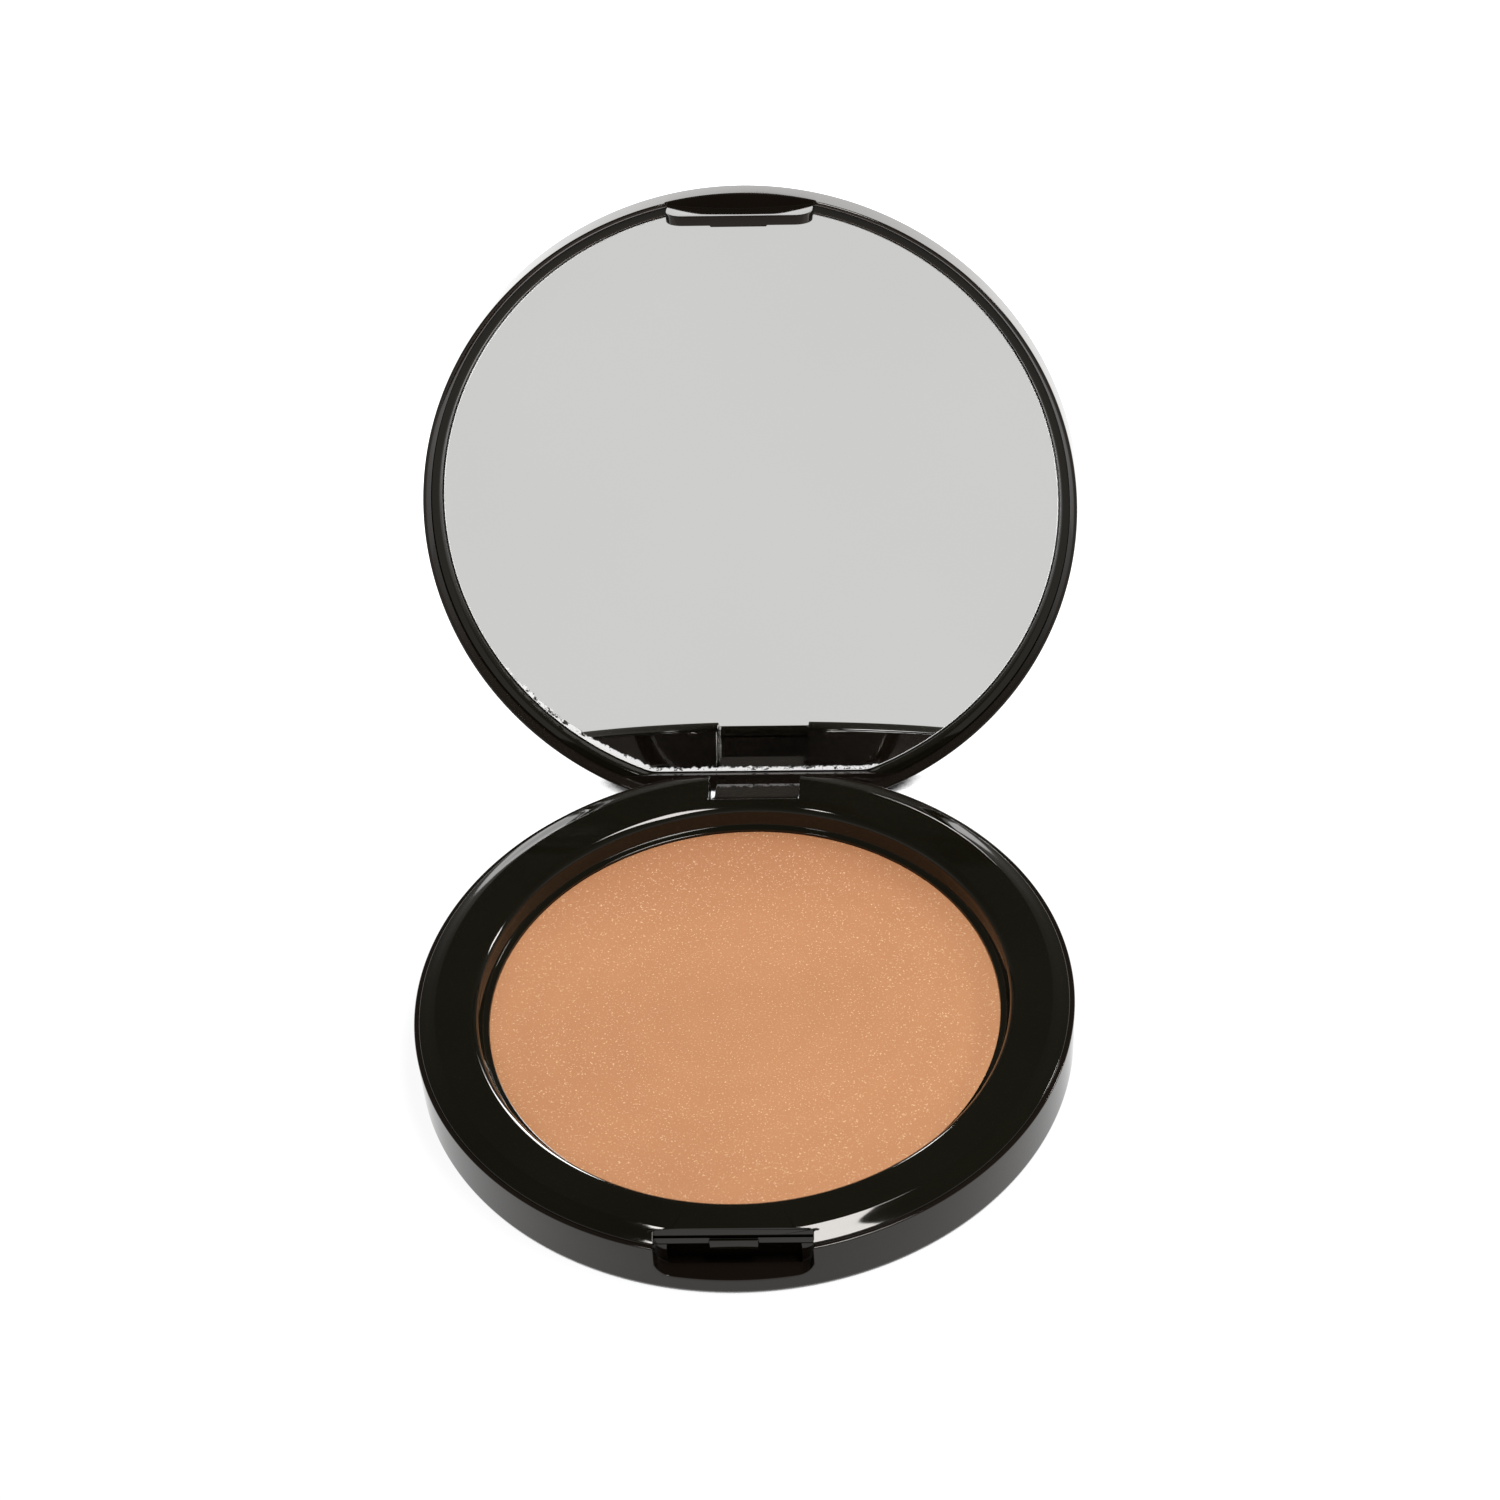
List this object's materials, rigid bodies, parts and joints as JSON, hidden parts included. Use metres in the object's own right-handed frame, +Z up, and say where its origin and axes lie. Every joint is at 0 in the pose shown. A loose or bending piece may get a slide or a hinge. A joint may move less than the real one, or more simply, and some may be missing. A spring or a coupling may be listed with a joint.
{
  "type": "powder compact",
  "caption": "Round pressed-powder compact with a hinged mirror lid, a snap tab at the front and a flush frame around the powder pan.",
  "frame": {"origin": "centre of the base's underside, on the surface it rests on", "axes": "+Z up, -Y to the latch at the front, +Y to the hinge at the back, +X to the right"},
  "size_m": [0.0764, 0.1147, 0.0671],
  "materials": {
    "case_plastic": "polished near-black brown moulded plastic",
    "frame_plastic": "polished black moulded plastic",
    "pan_metal": "plain drawn sheet",
    "powder": null,
    "adhesive": "double-sided foam tape",
    "label_paper": "blank satin paper label",
    "pin_steel": "bright drawn wire",
    "mirror": "silvered float glass with a worn lower edge"
  },
  "bodies": {
    "base": {"base_shell": "case_plastic", "inner_frame": "frame_plastic", "powder_pan": "pan_metal", "powder_cake": "powder", "pan_adhesive": "adhesive", "underside_label": "label_paper", "hinge_pin": "pin_steel"},
    "lid": {"lid_shell": "case_plastic", "mirror_frame": "frame_plastic", "mirror_glass": "mirror", "mirror_adhesive": "adhesive"}
  },
  "joints": [
    {"name": "lid_hinge", "type": "hinge", "parent": "base", "child": "lid", "pos_m": [0, 0.0358, 0.0026], "axis": [1, 0, 0], "range_deg": [0, 117]}
  ]
}
